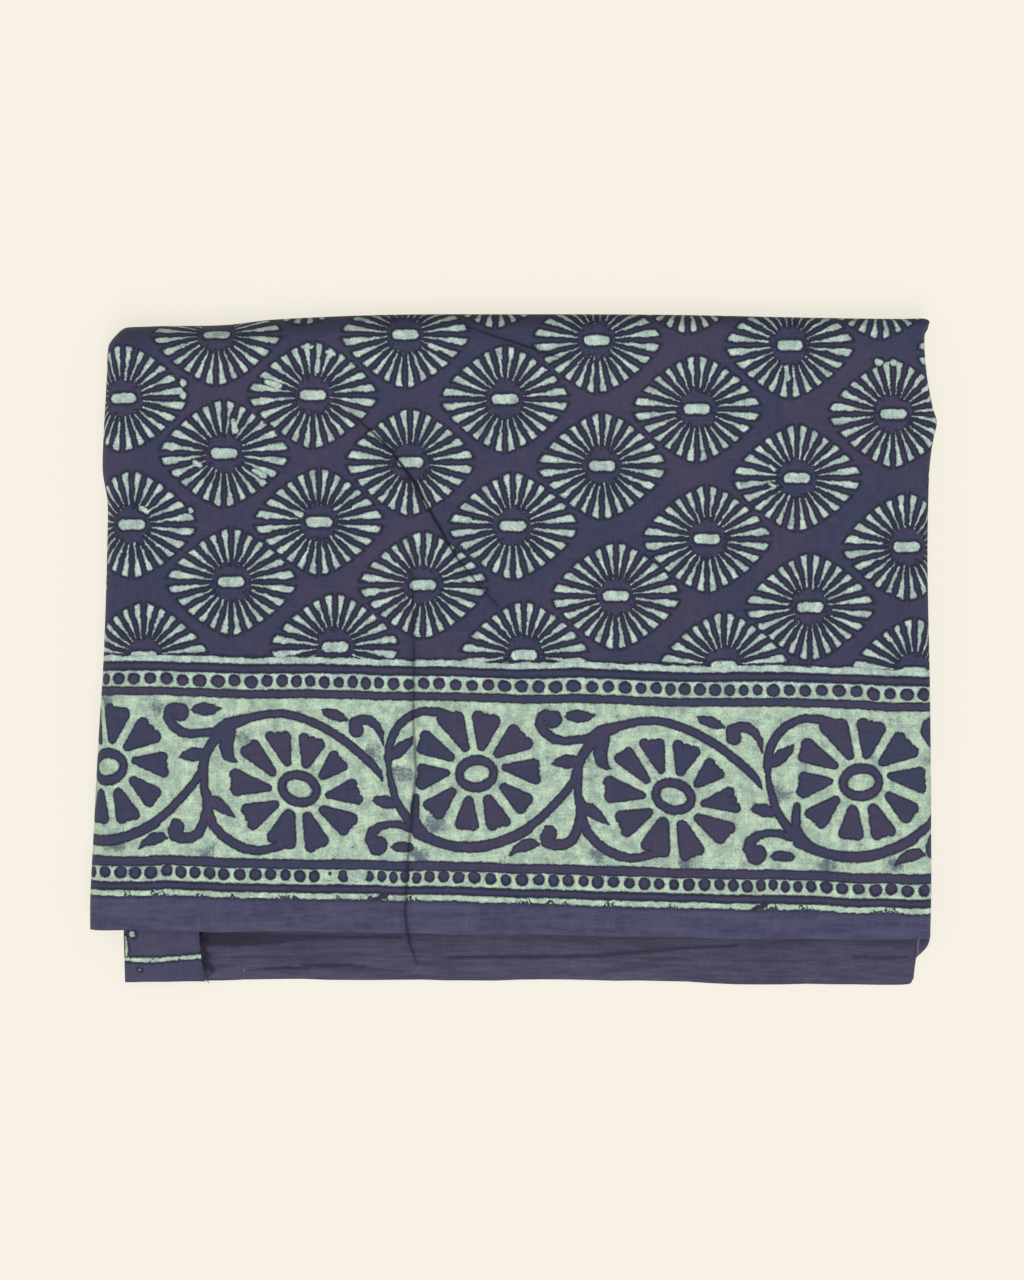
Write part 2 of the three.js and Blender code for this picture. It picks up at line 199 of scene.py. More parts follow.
# Flowers: centre, ring (half sizes), eye (half sizes), tilt in degrees, and for each petal its inner end and two lobes
FLOWERS = [
    {
        "at": (299.1, 132.5), "ring": (21.6, 17.9), "eye": (13.4, 8.6), "tilt": 17,
        "petals": [
            ((328.1, 138.9, 3.1), (352, 127, 5), (357.7, 142.2, 5)),
            ((322.4, 119.5, 4), (333.7, 99.3, 5.2), (342.3, 109.4, 5.2)),
            ((306.1, 108.1, 4.2), (304.1, 82.1, 5.2), (318.9, 87.9, 5.8)),
            ((287.2, 106.4, 4), (270.4, 80.7, 5), (285.2, 80.9, 5.5)),
            ((272.4, 116.4, 4.2), (245.9, 96, 5.5), (254.6, 90.2, 5.5)),
            ((268.4, 132.3, 3.5), (235.7, 119.7, 6), (237.2, 133.4, 7)),
            ((275, 149, 4.2), (246.9, 154.1, 5.8), (253.1, 168.8, 5.5)),
            ((288.8, 159.9, 6.5), (273, 181.2, 6), (289.3, 186.5, 6.8)),
            ((307.7, 161.1, 5.2), (310.7, 190.6, 5.5), (322.4, 184.3, 6.2)),
            ((323.5, 153.6, 4.5), (343.4, 172.6, 5.8), (351.5, 162.3, 6.2)),
        ],
    },
    {
        "at": (476.6, 114.3), "ring": (21.3, 18.5), "eye": (13.2, 8.6), "tilt": -10,
        "petals": [
            ((505.3, 107.5, 3.3), (534.2, 103.4, 5.4), (535.3, 118.1, 5.4)),
            ((497.4, 94, 4.1), (513.7, 70.6, 6.4), (526.3, 83, 6.4)),
            ((481.6, 86.9, 4.3), (478.4, 57.5, 6.2), (493.2, 61.5, 7.1)),
            ((465.3, 88.3, 4.3), (444.2, 60.3, 7.3), (456.8, 59.5, 7.5)),
            ((450.5, 98.1, 4.3), (422.6, 90.2, 5.7), (425.8, 78.1, 6)),
            ((446.3, 114, 3.5), (422.1, 124.5, 6.7), (422.6, 110.8, 5.4)),
            ((452.1, 132.8, 4.3), (428.4, 146.4, 5.2), (438.9, 154.6, 6)),
            ((468.4, 141.9, 5), (461.1, 164.7, 6), (472.6, 165.5, 6)),
            ((488.4, 140.5, 5.4), (492.1, 164.6, 6), (505.3, 161.2, 5.2)),
            ((504.2, 127.6, 4.6), (520.5, 147.3, 6), (526.8, 138.8, 6)),
        ],
    },
]

# Lines of the border, from its upper edge: top and bottom of each dark line
DARK_LINES = [(8.8, 18.0), (34.4, 42.6), (202.8, 212.3), (228.0, 236.6)]
BORDER_END = 243.0
BEAD_ROWS = (26.0, 218.7)
BEAD_PITCH, BEAD_HALF = 15.6, 5.8
# Where the beads of one block are, along the block
UPPER_BEADS = [
    218.7, 234.2, 251.5, 267.1, 282.7, 296.5, 310.4, 324.2, 338.8, 353, 365.8, 378.6, 393.5, 409, 423.6, 439, 455.8,
    472.1, 488.4, 504.3, 521.6, 538.9, 555.2, 573.2,
]
LOWER_BEADS = [
    223.2, 240, 255.5, 270.5, 285.5, 300, 314, 329, 343.3, 356, 369.2, 382, 393.5, 404.9, 416.6, 429.1, 443.6, 458.2,
    474, 491.2, 505.7, 521.6, 539.6, 553.5, 568, 584.3,
]
# In the first block one bead is missing and another is a small drop
BEAD_GAPS = [[(355, 874, 8.5), (359, 874, 8.5)], [(328, 873, 8.2), (331, 873, 8.2)]]
BEAD_DROP = [[(330, 873.5, 1.4), (331, 873.8, 1.4)]]
# Where one block's green end line stops before the next one
JOINTS = [[(371, 901.5, 1.0), (384, 896.5, 3.0), (391, 891, 1.5)], [(752, 911, 1.0), (763, 907, 3.0), (770, 902, 1.5)]]
# Where the dye has crept under the resist and left dark clouds: x, y, reach
CLOUDS = [
    (157, 706, 8), (241, 738, 9), (113, 843, 10), (205, 853, 9), (352, 848, 3), (399, 774, 11), (372, 752, 9),
    (434, 823, 11), (595, 855, 9), (682, 864, 9), (780, 793, 11), (826, 866, 11), (897, 864, 9), (103, 700, 8),
    (418, 855, 9), (585, 760, 7),
]

# Creases of the top run in the picture: x, y, half width
CREASES = [
    [
        (410, 548, 0.1), (413, 605, 0.7), (414, 670, 0.9), (413, 720, 0.9), (416, 772, 1.1), (412, 815, 1.1),
        (408, 858, 1.1), (405, 914, 1.3), (408, 944, 1.1), (416, 966, 0.2),
    ],
    [
        (350, 412, 0.1), (370, 430, 0.9), (389, 448, 1.4), (416, 484, 1.4), (438, 525, 1.2), (457, 558, 0.9),
        (478, 584, 0.5), (498, 606, 0.1),
    ],
    [(466, 326, 0.1), (492, 335, 0.6), (520, 344, 0.8), (545, 352, 0.5), (564, 359, 0.1)],
]
CREASE_SIDES = [(1, 0.85), (-1, 0.7), (-1, 0.45)]  # the side of the hump, and the depth
# Dark streaks of the lower band, some of them painted shadow, and light lines there, and the green end line and drops
# on the flap, in the picture
DARK_STREAKS_AND_SHADOWS = [
    # The first two run just under the top run's front edge: painted shadow
    [(206, 944, 4.0), (232, 944, 4.5), (268, 943, 3.5), (300, 941, 2.0), (330, 940, 0.5)],
    [(206, 938, 3.0), (300, 939, 2.2), (400, 940, 0.6)],
    [(300, 969, 0.6), (330, 968, 1.4), (362, 970, 0.4)],
    [(262, 972, 0.2), (284, 971.4, 0.7), (306, 972, 0.2)],
    [(449, 960, 0.6), (520, 959.4, 1.6), (586, 958.4, 1.6), (638, 955, 1.3), (693, 950, 1.3), (739, 948, 0.6)],
    [(856, 960, 0.3), (884, 960.4, 1.0), (912, 960, 0.3)],
    # These two lie along the flap's cut end: dark frayed threads with painted shadow
    [(207, 971, 2.6), (209, 973, 2.2)],
    [(197, 935, 2.6), (201, 944, 2.0), (203, 955, 1.4), (205.5, 968, 1.0)],
]
# Light lines of the lower band
LIGHT_LINES = [[(922.5, 940, 0.5), (921.5, 950, 0.6), (921.8, 960, 0.3)], [(241, 973.5, 0.5), (241.6, 973, 0.6)]]
FLAP_LINES = [
    [(120, 961, 2.3), (150, 962, 2.9), (172, 960, 2.3), (202, 958, 2.9)],
    [(124, 938, 1.4), (124.5, 948, 2.1), (124.5, 957, 1.7)],
    [(130.8, 934.6, 3.2), (131.4, 935.4, 3.2)],
    [(137, 972, 1.2), (137.6, 972.4, 1.2)],
]
WARP_PITCH, WEFT_PITCH = 0.95, 0.85  # from thread to thread

# ---------------------------------------------------------------- the shape of the roll


def smooth(x, a, b):
    t = np.clip((x - a) / (b - a), 0, 1)
    return t * t * (3 - 2 * t)


def along(rows, column, at):
    """A smooth curve through one column of a table, as the CAD source draws it."""
    xs = np.array([row[0] for row in rows], float)
    vs = np.array([row[column] for row in rows], float)
    at = np.asarray(at, float)
    slopes = np.empty_like(vs)
    slopes[1:-1] = (vs[2:] - vs[:-2]) / (xs[2:] - xs[:-2])
    slopes[0] = (vs[1] - vs[0]) / (xs[1] - xs[0])
    slopes[-1] = (vs[-1] - vs[-2]) / (xs[-1] - xs[-2])
    i = np.searchsorted(xs[1:-1], at, side="left")
    step = xs[i + 1] - xs[i]
    t = np.clip((at - xs[i]) / step, 0, 1)
    rise = vs[i + 1] - vs[i]
    m0, m1 = slopes[i] * step, slopes[i + 1] * step
    return vs[i] + t * (m0 + t * (3 * rise - 2 * m0 - m1 + t * (m0 + m1 - 2 * rise)))


def edges(run, x):
    """The front selvage's and the back fold's y at x."""
    if run in ("inner", "flap"):
        front = along(INNER_EDGES, 1, x)
        return front, front + DEPTH + INNER_SLACK
    inside = BASE_SETBACK if run == "base" else 0
    return along(UPPER_EDGES, 1, x) + inside, along(UPPER_EDGES, 2, x) - inside


def missing(run, ply, x, y):
    """How far a ply of a run is missing at a place, from 0 to 1."""
    front, back = edges(run, x)
    behind = (0, SECOND_SELVAGE, MIDDLE_FOLD, MIDDLE_FOLD)[ply - 1]
    outside = np.maximum(np.maximum(front + behind - y, y - back), 0)
    return smooth(outside, EDGE_START, EDGE_RUN)


def over_flap(x):
    return 1 - smooth(np.asarray(x, float), FLAP_END, FLAP_END + FLAP_RUN)


def sink(run, ply, x, y):
    """How far a ply sinks, because others below it are missing there."""
    if run == "base":
        return np.zeros_like(y)
    plies = sum(missing("base", p, x, y) for p in range(1, PLIES + 1))
    held = 1 - smooth(x, HELD_FROM, HELD_TO)
    if run != "inner":
        plies = plies + held * sum(missing("inner", p, x, y) for p in range(1, PLIES + 1))
    if run == "top":
        plies = plies + over_flap(x) * sum(missing("flap", p, x, y) for p in range(1, PLIES + 1))
    if run != "inner":
        plies = plies + sum(np.where(p > ply, missing(run, p, x, y), 0) for p in range(2, PLIES + 1))
    return plies * PITCH


def swelling(x, y):
    return sum(s * np.exp(-(np.hypot(x - sx, y - sy) / reach) ** 2) for sx, sy, reach, s in SWELLS)


def crease_dip(x, y):
    """How deep the creases press the top run, in millimetres, with the cloth humped softly beside them."""
    cx, cy = CHART_X + x / CHART, CHART_Y - y / CHART
    dip = np.zeros_like(x)
    for line, (side, depth) in zip(CREASES, CREASE_SIDES):
        best = np.full_like(x, 1e9)
        reach = np.zeros_like(x)
        signed = np.zeros_like(x)
        for (ax, ay, ar), (bx, by, br) in zip(line, line[1:]):
            dx, dy = bx - ax, by - ay
            size = math.hypot(dx, dy)
            h = np.clip(((cx - ax) * dx + (cy - ay) * dy) / size**2, 0, 1)
            far = np.hypot(cx - ax - h * dx, cy - ay - h * dy)
            across = ((cx - ax) * dy - (cy - ay) * dx) / size * side
            nearer = far < best
            best = np.where(nearer, far, best)
            reach = np.where(nearer, np.clip(ar + h * (br - ar), 0, 1), reach)
            signed = np.where(nearer, across, signed)
        dip -= depth * reach * np.exp(-((best * CHART / 1.5) ** 2))
        hump = np.exp(-(((signed * CHART - 5.5) / 4.5) ** 2)) * np.exp(-((best * CHART / 14) ** 2))
        dip += 0.5 * depth * reach * hump
    return dip


random = np.random.default_rng(5150)
WAVES = [
    (random.uniform(0, 2 * math.pi), random.uniform(22, 90), random.uniform(0, 2 * math.pi), random.uniform(0.4, 1))
    for _ in range(26)
]


def rumple(x, y):
    """Slow unevenness of the top run, up to some tenths of a millimetre."""
    total = np.zeros_like(x)
    for turn, length, phase, size in WAVES:
        total += size * (length / 90) * np.sin(2 * math.pi * (x * math.cos(turn) + y * math.sin(turn)) / length + phase)
    return 0.085 * total


def uneven(x, y, z, ply):
    """The height of a spot with the swells, the creases and the pressed back fold."""
    above_base = np.maximum(z - LEVEL, 0)
    above_inner = np.clip((z - 2 * LEVEL) / LEVEL, 0, 1)
    lift = swelling(x, y) * above_base
    z = z + lift + above_inner * (crease_dip(x, y) + rumple(x, y)) * np.where(ply == 1, 1.0, 0.7)
    behind = np.clip((y - along(UPPER_EDGES, 2, x)) / along(BACK_ROLL, 2, x) + 1, 0, 1)
    return z * (1 - along(BACK_ROLL, 1, x) * (1 - np.sqrt(1 - 0.985 * behind**2)))


def always(x):
    """The same x at every y."""
    return lambda y: np.full_like(np.asarray(y, float), x)


def left_at(y):
    return along(LEFT_SIDE, 1, y) + OUTER_BEND + HALF_BUNDLE


def flap_end_at(y):
    aslant = np.clip((-116.4 - y) * 0.24, -2.4, 2.2)
    return FLAP_END + aslant + sum(size * np.sin(2 * math.pi * y / length) for size, length in CUT_WAVES)


def spaced(a, b, step):
    count = max(2, int(round(abs(b - a) / step)) + 1)
    return list(np.linspace(a, b, count)[1:-1])


def even_turns(count):
    return [k / count for k in range(1, count + 1)]


# At the right the inner run's front edge ends almost square, and a tab of the fold shows behind it
RIGHT_TURNS = [0.02, 0.035, 0.05, 0.1, 0.18, 0.26, 0.31, 0.36, 0.41, 0.46, 0.51, 0.58, 0.66, 0.75, 0.84, 0.92, 1.0]
RIGHT_SLIDES = [(0, 0), (0.02, 0.25), (0.05, 0.5), (0.26, 0.72), (0.36, 0.84), (0.46, 1), (1, 1)]


def slide(leg, t):
    """How far the edges have moved over from one run's to the next one's, part of the way round a bend."""
    if leg["next"] == "top":
        return float(np.interp(t, *zip(*RIGHT_SLIDES)))
    return float(smooth(t, 0.5, 1.0) if leg["next"] == "base" else smooth(t, 0.0, 0.5))


inner_left_at, right_at = always(INNER_LEFT + TIGHT_BEND + HALF_BUNDLE), always(RIGHT_MIDDLE)
INNER_STOPS = spaced(-174, -120, 5) + spaced(-120, 170, 11) + [169, 176, 181, 183.5, 185]
TOP_STOPS = spaced(RIGHT_MIDDLE, -36, 2.6) + spaced(-36, -60, 1.0) + spaced(-60, -162, 2.6)
# The runs and the bends between them, from the flap's cut end to the base run's
ROUTE = [
    {"run": "flap", "start": flap_end_at, "end": inner_left_at, "up": 1, "stops": spaced(-144.6, -174, 2.6)},
    {"run": "flap", "next": "inner", "at": inner_left_at, "side": -1, "up": 1, "turns": even_turns(8)},
    {"run": "inner", "end": right_at, "up": -1, "stops": INNER_STOPS},
    {"run": "inner", "next": "top", "at": right_at, "side": 1, "up": -1, "turns": RIGHT_TURNS},
    {"run": "top", "end": left_at, "up": 1, "stops": TOP_STOPS, "shares": 6},
    {"run": "top", "next": "base", "at": left_at, "side": -1, "up": 1, "turns": even_turns(12)},
    {"run": "base", "end": always(BASE_END), "up": -1, "stops": spaced(-176, 173, 14)},
]


def height(run, x):
    return HEIGHT[run] + (LEVEL * over_flap(x) if run == "top" else 0)


def on_run(leg, x):
    """The place on a run and the way out of it, both in x and z."""
    rise = (height(leg["run"], x + 1) - height(leg["run"], x - 1)) / 2
    size = np.hypot(rise, 1)
    return x, height(leg["run"], x) + 0 * x, -rise * leg["up"] / size, leg["up"] / size


def on_bend(leg, t, y):
    """The same on a bend, part of the way round it."""
    middle = leg["at"](y)
    z0, z1 = height(leg["run"], middle), height(leg["next"], middle)
    tall = np.abs(z0 - z1) / 2
    wide = OUTER_BEND if leg["next"] == "base" else tall
    bulge = (along(RIGHT_SIDE, 1, y) - RIGHT_MIDDLE) / (TIGHT_BEND + HALF_BUNDLE)
    pull = bulge if leg["side"] > 0 else 1.0
    turn = math.pi * t
    nx = leg["side"] * tall * math.sin(turn)
    nz = leg["up"] * wide * math.cos(turn)
    size = np.hypot(nx, nz)
    x = middle + pull * leg["side"] * wide * math.sin(turn)
    return x, (z0 + z1) / 2 + leg["up"] * tall * math.cos(turn), pull * nx / size, nz / size


def sheet_points(step, spot):
    """The places of all spots of the section at one step of the roll, in millimetres."""
    leg, x_at, t = step
    run, after = leg["run"], leg.get("next")
    x0 = float(x_at(np.array(0.0)))
    front, back = edges(run, x0)
    if after:
        slid = slide(leg, t)
        next_front, next_back = edges(after, x0)
        front, back = front + slid * (next_front - front), back + slid * (next_back - back)
    share = spot["d"] / DEPTH
    y = front + share * (back - front)
    upper_front, upper_back = edges("top", x0)
    home = upper_front + share * (upper_back - upper_front)
    px, pz, nx, nz = on_bend(leg, t, home) if after else on_run(leg, x_at(home))
    x = px + nx * spot["n"]
    drop = sink(run, spot["ply"], x, y)
    if after:
        passed = (1 - math.cos(math.pi * t)) / 2
        drop = drop + passed * (sink(after, spot["ply"], x, y) - drop)
    z = uneven(x, y, pz + nz * spot["n"] - drop, spot["ply"])
    return np.stack([x, y, z], -1)


def roll_steps():
    """Every step of the roll: its leg, its x for each y, and how far round the bend it is."""
    steps = [(ROUTE[0], ROUTE[0]["start"], 0.0)]
    for leg in ROUTE:
        if "next" in leg:
            steps += [(leg, leg["at"], t) for t in leg["turns"]]
            continue
        steps += [(leg, always(x), 0.0) for x in leg["stops"]]
        for k in range(1, leg.get("shares", 1)):
            x, share = leg["stops"][-1], k / leg["shares"]
            steps.append((leg, lambda y, x=x, share=share, end=leg["end"]: x + share * (end(y) - x), 0.0))
        steps.append((leg, leg["end"], 0.0))
    return steps


def section():
    """The quarter fold's section from the first selvage to the second.

    For each spot: ply, d from the front selvage, n out of the ply, and the way to its printed side.
    """
    rows = []
    wide, tight = 1.5 * PITCH, 0.5 * PITCH
    back_at = DEPTH - wide - SHEET / 2
    middle_at = MIDDLE_FOLD + tight + SHEET / 2
    inside = [44, 60, 84, 110, 140, 170, 200, 224, 246, 262, 270, 275, 279]

    def flat(ply, printed, stops):
        rows.extend((ply, d, ((PLIES + 1) / 2 - ply) * PITCH, 0.0, printed) for d in stops)

    def fold(ply, d, n, radius, to_back, start, printed, count):
        for k in range(1, count):
            turn = math.pi * k / count
            od, on = to_back * math.sin(turn), start * math.cos(turn)
            rows.append((ply, d + radius * od, n + radius * on, printed * od, printed * on))

    flat(1, 1, [*np.linspace(0, back_at - 13, 104), *np.linspace(back_at - 12, back_at, 15)])
    fold(1, back_at, 0, wide, 1, 1, 1, 9)
    flat(4, -1, [back_at, *inside[::-1], middle_at])
    fold(4, middle_at, -PITCH, tight, -1, -1, 1, 5)
    flat(3, 1, [middle_at, *inside, back_at])
    fold(3, back_at, 0, tight, 1, -1, -1, 5)
    flat(2, -1, [back_at, *inside[::-1], 36, 30, 25, 20, 15.5, SECOND_SELVAGE])
    return dict(zip(("ply", "d", "n", "ad", "an"), np.array(rows, float).T))


# ---------------------------------------------------------------- the sheet's mesh and its maps
FIELD, PLAIN, REVERSE, STRIP, FLAP, VINE = range(6)  # material slots; the vine has one for each column
FIELD_END, VINE_END = 25.0, 217.0  # heights in the border where one material takes over from the next
MAP_UNITS = 1000  # chart units in one unit of a map


def flat_map(middle, steps, spot):
    """Where each point of the sheet lies in the chart, as if the cloth were laid out flat."""
    count, spots = middle.shape[:2]
    top = [i for i, (leg, *_) in enumerate(steps) if leg["run"] == "top" and "next" not in leg]
    first, last = top[0], top[-1]
    u = np.zeros((count, spots))
    u[first : last + 1] = middle[first : last + 1, :, 0]
    lengths = np.linalg.norm(np.diff(middle[:, :, [0, 2]], axis=0), axis=-1)
    u[:first] = u[first] + np.cumsum(lengths[:first][::-1], axis=0)[::-1]
    u[last + 1 :] = u[last] - np.cumsum(lengths[last:], axis=0)

    # The first ply keeps its own place in y at this depth, and the rest is measured along the section from there
    anchor_depth, far_half_shift = 150, 5.0
    anchor = int(np.argmin(np.abs(spot["d"] - anchor_depth) + 1000 * (spot["ply"] > 1)))
    across = np.linalg.norm(np.diff(middle[:, :, [1, 2]], axis=1), axis=-1)
    path = np.concatenate([np.zeros((count, 1)), np.cumsum(across, axis=1)], axis=1)
    front, back = edges("top", np.clip(u[:, anchor], -190, 190))
    home = front + spot["d"][anchor] / DEPTH * (back - front)
    start = home[:, None] - path[:, anchor : anchor + 1]
    # The second selvage has the same border as the first, so the far half is mirrored
    whole = path[:, -1:]
    w = start + np.where(path > whole / 2, whole - path + far_half_shift, path)
    return CHART_X + u / CHART, CHART_Y - w / CHART


def nearest_medallion(cx, cy):
    """The centre of the medallion that each face belongs to, charted or carried on evenly."""
    rows = np.array(MEDALLIONS, float)
    fit, *_ = np.linalg.lstsq(np.column_stack([rows[:, :2], np.ones(len(rows))]), rows[:, 2:], rcond=None)
    place = (np.stack([cx, cy], -1) - fit[2]) @ np.linalg.inv(fit[:2])
    best = np.full(len(cx), 1e9)
    centre = np.zeros((len(cx), 2))
    for dj in (-1, 0, 1):
        j = np.round(place[:, 1]) + dj
        half = np.where(np.mod(j, 2) == 1, 0.5, 0.0)
        for di in (-1, 0, 1):
            i = np.round(place[:, 0] - half) + half + di
            at = np.stack([i, j], -1) @ fit[:2] + fit[2]
            for column, row, *charted in rows:
                at[(i == column) & (j == row)] = charted
            far = np.abs((cx - at[:, 0]) / MEDALLION_WIDE) ** MEDALLION_POWER
            far = far + np.abs((cy - at[:, 1]) / MEDALLION_TALL) ** MEDALLION_POWER
            nearer = far < best
            best = np.where(nearer, far, best)
            centre[nearer] = at[nearer]
    return centre


def straighten(cx, cy):
    """Chart places as places in the border: along it with all blocks alike, and down from its upper edge.

    Past the charted places its edges run on straight, and its blocks evenly.
    """
    last, *ends = BORDER_EDGES[-1]
    tail = (cx - last) * BORDER_SLOPE
    upper, lower = (np.where(cx > last, end + tail, along(BORDER_EDGES, i, cx)) for i, end in enumerate(ends, 1))
    pictured, even = np.array(BLOCK_SHIFTS, float).T
    outside = np.minimum(cx - pictured[0], 0) + np.maximum(cx - pictured[-1], 0)
    return np.interp(cx, pictured, even) + outside, (cy - upper) / (lower - upper) * BORDER_TALL


def bead_index(x, row):
    """How many beads along the row a place is, with halves at the beads' middles."""
    starts = [at + block * BLOCK_LENGTH for block in range(-9, 9) for at in row]
    return np.interp(x, starts, np.arange(len(starts)) + 0.5)


def bake_places(x, y, shown, lane):
    """Islands of a map to bake the sheet's colours into.

    The faces shown from above take its lower four fifths, the others a strip above for each side and ply.
    """
    left, front, span = 80.0, 945.0, 860.0
    all_left, all_right, all_tall = -950.0, 2200.0, 640.0
    lanes_from, lane_tall = 0.805, 0.19 / 8
    u = np.where(shown, (x - left) / span, (x - all_left) / (all_right - all_left))
    in_lane = lanes_from + lane * lane_tall + (front - y) / all_tall * (lane_tall * 0.9)
    v = np.where(shown, 0.01 + 0.98 * (front - y) / span * 0.79, in_lane)
    return np.clip(0.01 + 0.98 * u, 0, 1), np.clip(v, 0, 1)


def put_in_scene(name, data):
    made = bpy.data.objects.new(name, data)
    bpy.context.scene.collection.objects.link(made)
    return made


def new_mesh(name, verts, faces):
    mesh = bpy.data.meshes.new(name)
    mesh.from_pydata(verts, [], faces)
    return mesh


def build_cloth():
    """The cloth as one closed sheet, and its middle surface in millimetres."""
    spot, steps = section(), roll_steps()
    count, spots = len(steps), len(spot["d"])
    sides = []
    for off in (SHEET / 2, -SHEET / 2):
        moved = {**spot, "d": spot["d"] + off * spot["ad"], "n": spot["n"] + off * spot["an"]}
        points = np.stack([sheet_points(step, moved) for step in steps])
        # The selvage wanders a little
        for k, depth in ((0, 0.45), (1, 0.3), (spots - 1, 0.4), (spots - 2, 0.25)):
            x = points[:, k, 0]
            waves = np.sin(x / 9.7 + k) * 0.5 + np.sin(x / 23.0 + 2 * k) * 0.5 + np.sin(x / 4.1) * 0.2
            points[:, k, 1] += depth * waves
        sides.append(points)
    printed, plain = sides
    middle = (printed + plain) / 2

    # A ring of points round the section at each step, faces between the rings and a cap at both cut ends
    def rings(one, other):
        return np.concatenate([one, other[:, ::-1]], axis=1).reshape(-1, *one.shape[2:])

    size = 2 * spots
    s, k = np.meshgrid(np.arange(count - 1), np.arange(size), indexing="ij")
    n = (k + 1) % size
    quads = np.stack([s * size + k, s * size + n, (s + 1) * size + n, (s + 1) * size + k], -1).reshape(-1, 4)
    far = size - 1 - np.arange(spots - 1)
    cap = np.stack([np.arange(spots - 1), far, far - 1, np.arange(1, spots)], -1)
    faces = np.concatenate([quads, cap, (count - 1) * size + cap[:, ::-1]])
    verts = rings(printed, plain) * MM
    mesh = new_mesh("cloth", verts.tolist(), faces.tolist())
    mesh.shade_smooth()

    # What each face is: its run, its ply, its side, and so its material
    cx, cy = (rings(c, c) for c in flat_map(middle, steps, spot))
    pattern_x, border_y = straighten(cx, cy)
    step_of = np.concatenate([s.reshape(-1), np.zeros(spots - 1, int), np.full(spots - 1, count - 2)])
    spot_of = np.concatenate([k.reshape(-1), np.full(2 * (spots - 1), size)])
    is_printed = spot_of < spots - 1
    run = np.array([leg["run"] for leg, *_ in steps])[np.minimum(step_of + 1, count - 1)]
    ply = spot["ply"][np.minimum(spot_of, spots - 1)]
    face_x, face_y = pattern_x[faces].mean(1), border_y[faces].mean(1)
    block = np.floor((face_x - BLOCK_START) / BLOCK_LENGTH)
    column = ((face_x - BLOCK_START - block * BLOCK_LENGTH) / COLUMN_LENGTH).astype(int)
    slot = np.where(face_y > VINE_END, PLAIN, VINE + np.clip(column, 0, COLUMNS - 1))
    slot[face_y < FIELD_END] = FIELD
    slot[~is_printed] = REVERSE
    slot[is_printed & (run == "inner") & (ply == 2) & (cy[faces].mean(1) > 800)] = STRIP
    slot[is_printed & (ply == 1) & (step_of < len(ROUTE[0]["stops"]) + 9)] = FLAP
    mesh.polygons.foreach_set("material_index", slot.astype(np.int32))

    # In its motif map a face of the field has its place in the medallion, a face of the border in the block
    medallion = nearest_medallion(cx[faces].mean(1), cy[faces].mean(1))
    in_field = (slot == FIELD)[:, None]
    motif_x = cx[faces] - medallion[:, :1], pattern_x[faces] - block[:, None] * BLOCK_LENGTH
    motif_y = cy[faces] - medallion[:, 1:], border_y[faces]
    real = verts[faces] / (CHART * MM)
    maps = {
        "motif": (np.where(in_field, *motif_x), np.where(in_field, *motif_y)),
        "border": (pattern_x[faces], border_y[faces]),
        "beads": (bead_index(pattern_x, UPPER_BEADS)[faces], bead_index(pattern_x, LOWER_BEADS)[faces]),
        "cloth": (cx[faces], cy[faces]),
        "place": (CHART_X + real[:, :, 0], CHART_Y - real[:, :, 1]),
    }
    maps = {name: np.stack(places, -1) / MAP_UNITS for name, places in maps.items()}
    shown, lane = is_printed & (ply == 1) & (run == "top"), np.where(is_printed, ply - 1, 3 + ply)
    maps["OFBake"] = np.stack(bake_places(cx[faces], cy[faces], shown[:, None], lane[:, None]), -1)
    for name, places in maps.items():
        mesh.uv_layers.new(name=name).uv.foreach_set("vector", places.astype(np.float32).reshape(-1))
    mesh.validate(clean_customdata=False)
    return put_in_scene("printed_cloth", mesh), middle


# ---------------------------------------------------------------- shader nodes


def linear(colour):
    """A colour as the picture shows it (0 to 255), for a shader."""
    out = []
    for c in colour:
        c /= 255
        out.append(c / 12.92 if c <= 0.04045 else ((c + 0.055) / 1.055) ** 2.4)
    return (*out, 1.0)


